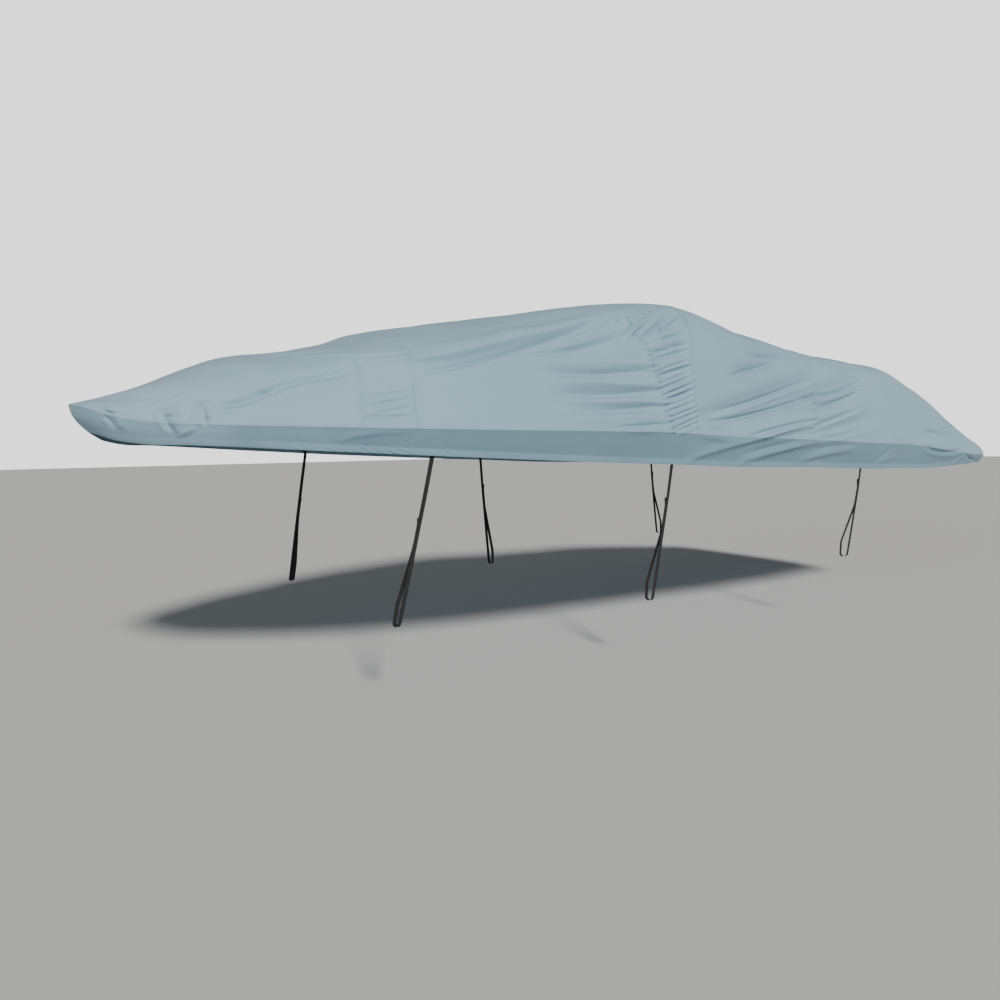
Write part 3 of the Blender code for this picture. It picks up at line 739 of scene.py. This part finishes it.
def maths(tree, operation, *items):
    """One operation on plain numbers or other nodes' results."""
    node = tree.nodes.new("ShaderNodeMath")
    node.operation = operation
    for socket, item in zip(node.inputs, items):
        feed(tree, socket, item)
    return node.outputs[0]


def mix(tree, factor, first, second):
    """A colour between two colours."""
    node = tree.nodes.new("ShaderNodeMix")
    node.data_type = "RGBA"
    for socket, item in ((node.inputs[0], factor), (node.inputs[6], first), (node.inputs[7], second)):
        feed(tree, socket, item)
    return node.outputs[2]


def map_range(tree, item, limits):
    """The item from its first two limits to the last two."""
    node = tree.nodes.new("ShaderNodeMapRange")
    feed(tree, node.inputs["Value"], item)
    for socket, limit in zip(node.inputs[1:5], limits):
        socket.default_value = limit
    return node.outputs[0]


def split(tree, vector):
    """The three parts of a place."""
    node = tree.nodes.new("ShaderNodeSeparateXYZ")
    tree.links.new(vector, node.inputs[0])
    return node.outputs


def cloud(tree, vector, scale, detail, roughness):
    """Soft noise at a place, around a half."""
    node = tree.nodes.new("ShaderNodeTexNoise")
    node.inputs["Scale"].default_value = scale
    node.inputs["Detail"].default_value = detail
    node.inputs["Roughness"].default_value = roughness
    tree.links.new(vector, node.inputs["Vector"])
    return node.outputs["Fac"]


def attribute(tree, label):
    """A number that the cloth carries at each of its points."""
    node = tree.nodes.new("ShaderNodeAttribute")
    node.attribute_name = label
    return node.outputs["Fac"]


def raise_surface(tree, shader, height, strength, distance):
    """Let a pattern stand up from a material's surface."""
    bump = tree.nodes.new("ShaderNodeBump")
    bump.inputs["Strength"].default_value = strength
    bump.inputs["Distance"].default_value = distance
    tree.links.new(height, bump.inputs["Height"])
    tree.links.new(bump.outputs["Normal"], shader.inputs["Normal"])


# Colours of the cloth: the plain face, its sun-bleached patches and the darker thread of the seams,
# whose colour also paints a shadow along the edge of each cross seam.
# The bleached share fades from its value at the first place along the frame to aft_bleaching at the
# second.
# On the skirts the share at the bow is larger, as painted light bounced from the ground there.
cloth_colour = (0.178, 0.294, 0.362, 1.0)
cloth_pale = (0.236, 0.342, 0.404, 1.0)
cloth_thread_and_lap_shadow = (0.162, 0.272, 0.330, 1.0)
top_bleaching = (-2.70, -1.50, 1.0)
aft_bleaching = 0.40
cloth_roughness = 0.80
cloth_sheen = 0.10
cloth_specular = 0.35
patch_cloud = (1.1, 3.0, 0.55)
patch_gain, patch_base, patch_share = 2.4, -0.72, 0.7
coating_cloud = (9.0, 4.0, 0.6)
coating_gain, coating_base, coating_share = 1.6, -0.3, 0.3
grain_cloud = (46.0, 3.0, 0.6)
grain_height = 0.0009
weave_pitch = 0.0016
weave_height = 0.00006
stitch_rows = (0.0045, 0.0150)
stitch_length = 0.0048
stitch_gap = 0.24
stitch_half_width = 0.0009
stitch_height = 0.0005
lap_shadow_width = 0.0012
lap_shadow_dark = 0.3
cloth_bump = 0.6


def stitch_mask(tree, off, run):
    """Two rows of stitches at their distances off an edge, dashed along it."""
    dash = maths(tree, "FRACT", maths(tree, "DIVIDE", run, stitch_length))
    dash = maths(tree, "GREATER_THAN", dash, stitch_gap)
    rows = [maths(tree, "COMPARE", off, row, stitch_half_width) for row in stitch_rows]
    return maths(tree, "MULTIPLY", maths(tree, "MAXIMUM", *rows), dash)


def cloth_material(name, colour, pale, thread_and_lap_shadow, bleaching_and_bow_light):
    """Coated plain-weave polyester, with two rows of stitches beside each sewn edge."""
    material, tree, shader = new_material(name, cloth_roughness, cloth_sheen, cloth_specular)
    coordinates = tree.nodes.new("ShaderNodeTexCoord")
    body = coordinates.outputs["Object"]
    along, around = split(tree, coordinates.outputs["UV"])[:2]

    # slow patches of sun and dust, finer cloudiness of the coating, and a paler bow: bleached on the top
    # panels, and on the skirts a larger share that is painted light bounced from the ground
    patches = maths(tree, "MULTIPLY_ADD", cloud(tree, body, *patch_cloud), patch_gain, patch_base)
    coating = maths(tree, "MULTIPLY_ADD", cloud(tree, body, *coating_cloud), coating_gain, coating_base)
    patches = maths(tree, "MULTIPLY", patches, patch_share)
    coating = maths(tree, "MULTIPLY", coating, coating_share)
    blend = maths(tree, "MAXIMUM", maths(tree, "ADD", patches, coating), 0.0)
    blend = maths(tree, "MINIMUM", blend, 1.0)
    fading = map_range(tree, split(tree, body)[0], (*bleaching_and_bow_light, aft_bleaching))
    tone = mix(tree, maths(tree, "MULTIPLY", blend, fading), colour, pale)

    # stitches beside the cross seams, the side crease and the hem, and a painted shadow in the thread's
    # colour along the edge of each cross seam
    seam_off, edge_off = attribute(tree, "seam_off"), attribute(tree, "edge_off")
    stitches = stitch_mask(tree, seam_off, around)
    stitches = maths(tree, "MAXIMUM", stitches, stitch_mask(tree, edge_off, along))
    # painted shadow: the thread's colour along the lapped edge of each cross seam, where shade falls
    lap_shadow = maths(tree, "MULTIPLY", maths(tree, "LESS_THAN", seam_off, lap_shadow_width), lap_shadow_dark)
    tone = mix(tree, maths(tree, "MAXIMUM", stitches, lap_shadow), tone, thread_and_lap_shadow)
    tree.links.new(tone, shader.inputs["Base Color"])

    # plain weave, the coating's grain, and the stitches standing up
    turn = 2 * math.pi / weave_pitch
    warp = maths(tree, "SINE", maths(tree, "MULTIPLY", along, turn))
    weft = maths(tree, "SINE", maths(tree, "MULTIPLY", around, turn))
    grain = maths(tree, "MULTIPLY", cloud(tree, body, *grain_cloud), grain_height)
    height = maths(tree, "MULTIPLY_ADD", maths(tree, "MULTIPLY", warp, weft), weave_height, grain)
    height = maths(tree, "ADD", height, maths(tree, "MULTIPLY", stitches, stitch_height))
    raise_surface(tree, shader, height, cloth_bump, 1.0)
    return material


top_cloth = cloth_material("top_cloth", cloth_colour, cloth_pale, cloth_thread_and_lap_shadow, top_bleaching)


def lay_panel(name, columns, rows, fore_seam, aft_seam):
    """One top panel between two cross seams; None stands for the bow's point or the stern's edge."""
    place = panel_place(columns, rows, fore_seam, aft_seam)
    return lay_cloth(name, columns, rows, place, top_cloth)


bow = lay_panel("bow_cloth", columns=190, rows=200, fore_seam=None, aft_seam="band_fore")
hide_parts("bow_panel")
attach(bow, "root")

# ---- front band ----
# A narrow strip of the same cloth over the foot of the roof's front corner, lapped over the bow
# panel and under the next one.  Its short gathers are drawn up by the two seams.
band = lay_panel("front_band_cloth", columns=36, rows=320, fore_seam="band_fore", aft_seam="band_aft")
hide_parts("front_band")
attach(band, "root")

# ---- cockpit panel ----
# The long top panel from the band to the peak panel, of the same coated polyester, lapped and sewn
# with two rows at both ends.  The peak pulls it into a fan of creases.
cockpit = lay_panel("cockpit_cloth", columns=104, rows=390, fore_seam="band_aft", aft_seam="peak_fore")
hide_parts("cockpit_panel")
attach(cockpit, "root")

# ---- peak panel ----
# A gusset of the same cloth over the highest point, narrow at the side crease.  Its fore seam is
# drawn up on its thread, which gathers both cloths.
peak = lay_panel("peak_cloth", columns=60, rows=500, fore_seam="peak_fore", aft_seam="peak_aft")
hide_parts("peak_panel")
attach(peak, "root")

# ---- aft panel ----
# The panel of the same cloth that falls from the peak, sewn to the panels fore and aft of it.
# Long creases climb aft over it from the skirt.
aft = lay_panel("aft_cloth", columns=92, rows=420, fore_seam="peak_aft", aft_seam="stern_fore")
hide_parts("aft_panel")
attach(aft, "root")

# ---- stern panel ----
# The aftmost panel of the same cloth, nearly level at first and then sloping down to the rounded
# stern, where it is sewn to both skirts.
stern = lay_panel("stern_cloth", columns=170, rows=220, fore_seam="stern_fore", aft_seam=None)
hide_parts("stern_panel")
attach(stern, "root")

# ---- skirts ----
# The band below the side crease to port and to starboard, of the same polyester, sewn to the panels
# along the crease, and painted darker than them as shade, being tucked in under it.  Its hem is a
# turned casing with a shock cord inside, which draws it in.
# How deep the skirt hangs, how far its hem is drawn inboard, and how much of that comes evenly.
skirt = table(
    "station depth tuck straight",
    (0.00, 0.152, 0.095, 0.22),
    (0.15, 0.134, 0.070, 0.28),
    (0.50, 0.110, 0.050, 0.45),
    (1.20, 0.129, 0.050, 0.75),
    (2.00, 0.159, 0.055, 0.75),
    (3.40, 0.202, 0.060, 0.75),
    (4.60, 0.203, 0.060, 0.75),
    (5.60, 0.203, 0.060, 0.75),
    (6.20, 0.190, 0.060, 0.75),
    (6.80, 0.130, 0.060, 0.75),
    (7.20, 0.080, 0.060, 0.60),
    (7.56, 0.050, 0.060, 0.50),
)
skirt_curl = 2.3
skirt_closeness = 1.3
hem_closeness = 1.35
hem_stitched = 0.012
casing_height = 0.036
casing_flare = 0.022
casing_bow = 0.85
casing_least, casing_more = 0.3, 0.6
casing_grows_from, casing_grows_over = 0.7, 0.6
casing_stray, casing_stray_scale = 0.25, 0.23
pucker_wave = 0.064
pucker_rise = 0.0030
pucker_slant = 2.3
pucker_reach = 0.046
pucker_starts, pucker_starts_over = 0.75, 0.5
pucker_fades, pucker_fades_over = 2.3, 0.8
pucker_aft_share = 0.35
pucker_size, pucker_size_stray, pucker_size_scale = 0.6, 0.8, 0.31
pucker_turn_stray, pucker_turn_scale = 6.0, 0.16


def skirt_lift(station, up, depth, starboard):
    """Creases that run down from the panels, the hem's casing and its puckers."""
    side = 1.0 if starboard else -1.0
    still = 0 * station
    over_hem = depth + up
    grown = smooth_step((station - casing_grows_from) / casing_grows_over)
    casing = np.clip(1.0 - over_hem / casing_height, 0.0, 1.0) ** casing_bow
    casing_size = casing_least + casing_more * grown
    casing_size += casing_stray * wander(station, still + side, casing_stray_scale)
    stray = wander(station, still + side, pucker_turn_scale)
    size = pucker_size + pucker_size_stray * wander(station, still + size_apart * side, pucker_size_scale)
    turn = 2 * math.pi * (station + pucker_slant * over_hem) / pucker_wave + pucker_turn_stray * stray
    spread = np.exp(-((over_hem / pucker_reach) ** 2))
    share = pucker_aft_share + smooth_step((pucker_fades - station) / pucker_fades_over)
    share *= smooth_step((station - pucker_starts) / pucker_starts_over)
    lift = crease_lift(station, up, starboard) + uneven_lift(station, up, side)
    lift += casing_flare * casing * casing_size + pucker_rise * size * share * np.sin(turn) * spread
    return lift * end_ease(station)


def skirt_place(columns, rows, starboard):
    """The place function of a skirt: columns closer towards the bow, rows closer at the hem."""
    side = 1.0 if starboard else -1.0

    def place(i, j):
        run = outline_run[-1] * (i / columns) ** skirt_closeness
        station = np.interp(run, outline_run, form_stations)
        drop = 1.0 - (1.0 - j / rows) ** hem_closeness
        depth = smooth_curve(skirt, "depth", station)
        up = -depth * drop
        straight = smooth_curve(skirt, "straight", station)
        curl = straight * drop + (1 - straight) * drop**skirt_curl
        tuck = smooth_curve(skirt, "tuck", station) * curl
        outward = level_outward(station, side)
        lift = skirt_lift(station, up, depth, starboard)
        height = smooth_curve(sheer, "height", station)
        outer = np.stack((station, side * half_beam(station), height), axis=-1)
        outer[:, 0] -= tuck * outward[:, 0]
        outer[:, 1] -= tuck * outward[:, 1]
        outer[:, 2] += up - seam_gap
        outer += outward * lift[:, None]
        inner = outer - outward * cloth_thick
        for points in (outer, inner):
            points[:, 1] = side * np.maximum(points[:, 1] * side, seam_gap / 2)
        edge_off = np.minimum(-up, depth + up + hem_stitched)
        return in_frame(outer), in_frame(inner), up, station, 0 * station + 1.0, edge_off

    return place


skirt_columns, skirt_rows = 720, 26
# Darker copies of the top cloth's colours: painted shade on the tucked-in skirt, which gets less light.
skirt_shaded_colour = (0.106, 0.188, 0.238, 1.0)
skirt_shaded_pale = (0.178, 0.282, 0.342, 1.0)
skirt_shaded_thread = (0.098, 0.174, 0.222, 1.0)
# The skirts pale more at the bow than the top panels: painted light, bounced from the ground onto the
# bow's skirt.
skirt_bleaching_and_bow_light = (-3.30, -2.30, 2.6)
skirt_shaded_cloth = cloth_material("skirt_shaded_cloth", skirt_shaded_colour, skirt_shaded_pale, skirt_shaded_thread, skirt_bleaching_and_bow_light)
for word, starboard in (("port", False), ("starboard", True)):
    place = skirt_place(skirt_columns, skirt_rows, starboard)
    piece = lay_cloth("skirt_shaded_cloth_" + word, skirt_columns, skirt_rows, place, skirt_shaded_cloth)
    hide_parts("skirt_" + word)
    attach(piece, "root")

# ---- tie-downs ----
# Six lengths of 25 mm black polyester webbing.  Each is sewn inside the hem, pulled down, taken round
# a loop and brought back up over itself, where the two layers are held together, to a free end.
straps = table(
    "name station drop forward inboard fork tail",
    ("fore", 1.665, 0.95, 0.18, 0.10, 0.50, 0.035),
    ("mid", 3.340, 0.92, 0.02, 0.16, 0.40, 0.050),
    ("aft", 5.440, 0.72, 0.01, 0.10, 0.34, 0.060),
)
strap_width = 0.025
strap_thick = 0.0018
strap_sewn = 0.045
strap_clearance = 0.0020
strap_straight_by = 0.5
strap_lap_gap = 0.0012
strap_lapped = 0.10
loop_width = 0.060
loop_corner = 0.012
loop_height = 0.12
loop_taper = 0.004
fork_rise = 0.06
free_end_off = 0.012
run_shares = (0.2, 0.4, 0.6, 0.8)
solid_cloth = 0.0026
solid_skirt_rows = 3
strap_columns = 220
strap_rows = 4
route_ease = 3
webbing_black = (0.007, 0.007, 0.008, 1.0)
webbing_worn = (0.018, 0.018, 0.020, 1.0)
webbing_roughness = 0.66
webbing_sheen = 0.04
webbing_specular = 0.25
webbing_cloud = (24.0, 3.0, 0.5)
rib_pitch = 0.0026
rib_height = 0.0004
rib_bump = 0.7
rib_wear = 0.30


def skirt_bare(station, drop):
    """Half breadth and height of the smooth starboard skirt at one station."""
    station = np.array((station,))
    straight = smooth_curve(skirt, "straight", station)
    curl = straight * drop + (1 - straight) * drop**skirt_curl
    tuck = smooth_curve(skirt, "tuck", station) * curl
    breadth = half_beam(station) - tuck * np.abs(level_outward(station, -1.0)[:, 1])
    height = smooth_curve(sheer, "height", station) - smooth_curve(skirt, "depth", station) * drop
    return breadth[0], height[0]


def strap_route(strap):
    """The strap's middle line as (inboard, down) pairs: down, round the loop, up to the free end."""
    hem = skirt_bare(strap.station, 1.0)
    above = skirt_bare(strap.station, (solid_skirt_rows - 1) / solid_skirt_rows)
    lean = (above[0] - hem[0]) / (above[1] - hem[1])
    off_cloth = solid_cloth + (strap_clearance + strap_thick / 2) * math.hypot(1.0, lean)
    slope = strap.inboard / strap.drop
    inner_run = strap.inboard + loop_width
    lap = strap_thick + strap_lap_gap
    fork_down = strap.drop * strap.fork
    lap_top = fork_down - strap_lapped
    end_down = lap_top - strap.tail
    route = [(off_cloth - lean * strap_sewn, -strap_sewn), (off_cloth, 0.0)]
    route += [(slope * strap.drop * share, strap.drop * share) for share in run_shares]
    route.append((strap.inboard, strap.drop - loop_corner))
    route.append((strap.inboard + loop_corner, strap.drop))
    route.append((inner_run - loop_corner, strap.drop))
    route.append((inner_run, strap.drop - loop_corner))
    route.append((inner_run - loop_taper, strap.drop - loop_height))
    route.append((slope * fork_down + lap + free_end_off, fork_down + fork_rise))
    route.append((slope * fork_down + lap, fork_down))
    route.append((slope * lap_top + lap, lap_top))
    route.append((slope * end_down + lap + free_end_off, end_down))
    return np.array(route)


def eased(route, columns):
    """The route in even short steps, with its corners eased and its two ends kept."""
    run = np.concatenate(((0.0,), np.cumsum(np.hypot(*np.diff(route, axis=0).T))))
    steps = np.linspace(0.0, run[-1], columns + 1)
    line = np.stack([np.interp(steps, run, values) for values in route.T], axis=-1)
    for _ in range(route_ease):
        line[1:-1] = (line[:-2] + 2 * line[1:-1] + line[2:]) / 4
    return line, run[-1]


def strap_place(strap, side):
    """The place function of one strap: along the hem where it is sewn, square to the loop further down."""
    breadth, height = skirt_bare(strap.station, 1.0)
    fore = skirt_bare(strap.station - strap_width, 1.0)[0]
    aft = skirt_bare(strap.station + strap_width, 1.0)[0]
    hem_fore = strap.station - strap_width, fore
    hem_aft = strap.station + strap_width, aft
    sewn_angle = math.atan2(hem_aft[1] - hem_fore[1], hem_aft[0] - hem_fore[0])
    line, length = eased(strap_route(strap), strap_columns)
    run = np.gradient(line, axis=0)
    run /= np.linalg.norm(run, axis=-1, keepdims=True)

    def place(i, j):
        inboard, down = line[i].T
        across = (j / strap_rows - 0.5) * strap_width
        share = np.maximum(down, 0.0) / strap.drop
        angle = sewn_angle * np.maximum(1.0 - share / strap_straight_by, 0.0)
        faces = []
        for half in (-strap_thick / 2, strap_thick / 2):
            x = strap.station - strap.forward * share + across * np.cos(angle)
            y = side * (breadth - inboard + across * np.sin(angle) - half * run[i, 1])
            z = height - down + half * run[i, 0]
            faces.append(in_frame(np.stack((x, y, z), axis=-1)))
        along = length * i / strap_columns
        return faces[0], faces[1], across, along, 0 * along + 1.0, strap_width / 2 - np.abs(across)

    return place, length


webbing, web_tree, web_shader = new_material("webbing", webbing_roughness, webbing_sheen, webbing_specular)
web_coordinates = web_tree.nodes.new("ShaderNodeTexCoord")
web_along, web_across = split(web_tree, web_coordinates.outputs["UV"])[:2]
# ribs across the strap that step half a pitch from band to band, as a herringbone does
rib = maths(web_tree, "ADD", web_along, maths(web_tree, "PINGPONG", web_across, strap_width / 4))
rib = maths(web_tree, "SINE", maths(web_tree, "MULTIPLY", rib, 2 * math.pi / rib_pitch))
raise_surface(web_tree, web_shader, rib, rib_bump, rib_height)
worn = cloud(web_tree, web_coordinates.outputs["Object"], *webbing_cloud)
worn = maths(web_tree, "MULTIPLY_ADD", rib, rib_wear, worn)
web_tone = mix(web_tree, worn, webbing_black, webbing_worn)
web_tree.links.new(web_tone, web_shader.inputs["Base Color"])

for word, side in (("port", -1.0), ("starboard", 1.0)):
    for strap in straps:
        name = word + "_" + strap.name
        place, strap_length = strap_place(strap, side)
        piece = lay_cloth("webbing_" + name, strap_columns, strap_rows, place, webbing)
        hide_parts("strap_" + name)
        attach(piece, "root")

# ---- floor, light and camera ----
# A plain pale floor at the height of the ground under the cover, a soft sun from the right with a
# pale sky, and the camera at the photograph's place.
floor_height = -2.563
floor_size = 120.0
floor_colour = (0.50, 0.50, 0.50, 1.0)
bpy.ops.object.select_all(action="DESELECT")
bpy.ops.mesh.primitive_plane_add(size=floor_size, location=(0.0, 0.0, floor_height))
floor = bpy.context.object
floor.name = "floor"
floor_paint = bpy.data.materials.new("floor_paint")
floor_paint.use_nodes = True
floor_shader = floor_paint.node_tree.nodes["Principled BSDF"]
floor_shader.inputs["Base Color"].default_value = floor_colour
floor_shader.inputs["Roughness"].default_value = 0.9
floor.data.materials.append(floor_paint)

# The backdrop is pale to the eye and gives a dimmer, slightly cool light, weaker from overhead.
sky_fall = (0.0, 0.9, 0.38, 0.08)
world = bpy.data.worlds.new("studio")
world.use_nodes = True
sky = world.node_tree
fill = sky.nodes["Background"]
fill.inputs["Color"].default_value = (0.86, 0.94, 1.0, 1.0)
overhead = split(sky, sky.nodes.new("ShaderNodeTexCoord").outputs["Generated"])[2]
sky.links.new(map_range(sky, overhead, sky_fall), fill.inputs["Strength"])
backdrop = sky.nodes.new("ShaderNodeBackground")
backdrop.inputs["Color"].default_value = (1.0, 1.0, 1.0, 1.0)
backdrop.inputs["Strength"].default_value = 1.8
seen = sky.nodes.new("ShaderNodeLightPath")
either = sky.nodes.new("ShaderNodeMixShader")
sky.links.new(seen.outputs["Is Camera Ray"], either.inputs[0])
sky.links.new(fill.outputs[0], either.inputs[1])
sky.links.new(backdrop.outputs[0], either.inputs[2])
sky.links.new(either.outputs[0], sky.nodes["World Output"].inputs["Surface"])
bpy.context.scene.world = world

# The sun, and a weaker one from the left, as pale ground beyond the bow gives.
lights = table(
    "name spread energy colour towards",
    ("key_light", 8, 4.75, (1.0, 0.97, 0.93), (-0.190, -0.815, 0.547)),
    ("side_light", 25, 0.75, (0.94, 0.97, 1.0), (-0.94, -0.30, 0.15)),
)
for light in lights:
    bpy.ops.object.light_add(type="SUN")
    lamp = bpy.context.object
    lamp.name = light.name
    lamp.data.angle = math.radians(light.spread)
    lamp.data.energy = light.energy
    lamp.data.color = light.colour
    lamp.rotation_euler = Vector(light.towards).to_track_quat("Z", "Y").to_euler()

bpy.ops.object.camera_add()
camera = bpy.context.object
camera.name = "camera"
camera.data.sensor_width = 36.0
camera.data.lens = 28.08
camera_place = Vector((-3.961, -4.8242, -1.0128))
yaw, pitch, roll = math.radians(33.028), math.radians(4.276), math.radians(-0.681)
level_ahead = Vector((math.sin(yaw), math.cos(yaw), 0.0))
level_right = Vector((math.cos(yaw), -math.sin(yaw), 0.0))
straight_up = Vector((0.0, 0.0, 1.0))
ahead = math.cos(pitch) * level_ahead - math.sin(pitch) * straight_up
upright = math.cos(pitch) * straight_up + math.sin(pitch) * level_ahead
right = math.cos(roll) * level_right + math.sin(roll) * upright
upright = math.cos(roll) * upright - math.sin(roll) * level_right
placed = Matrix((right, upright, -ahead)).transposed().to_4x4()
placed.translation = camera_place
camera.matrix_world = placed
bpy.context.scene.camera = camera
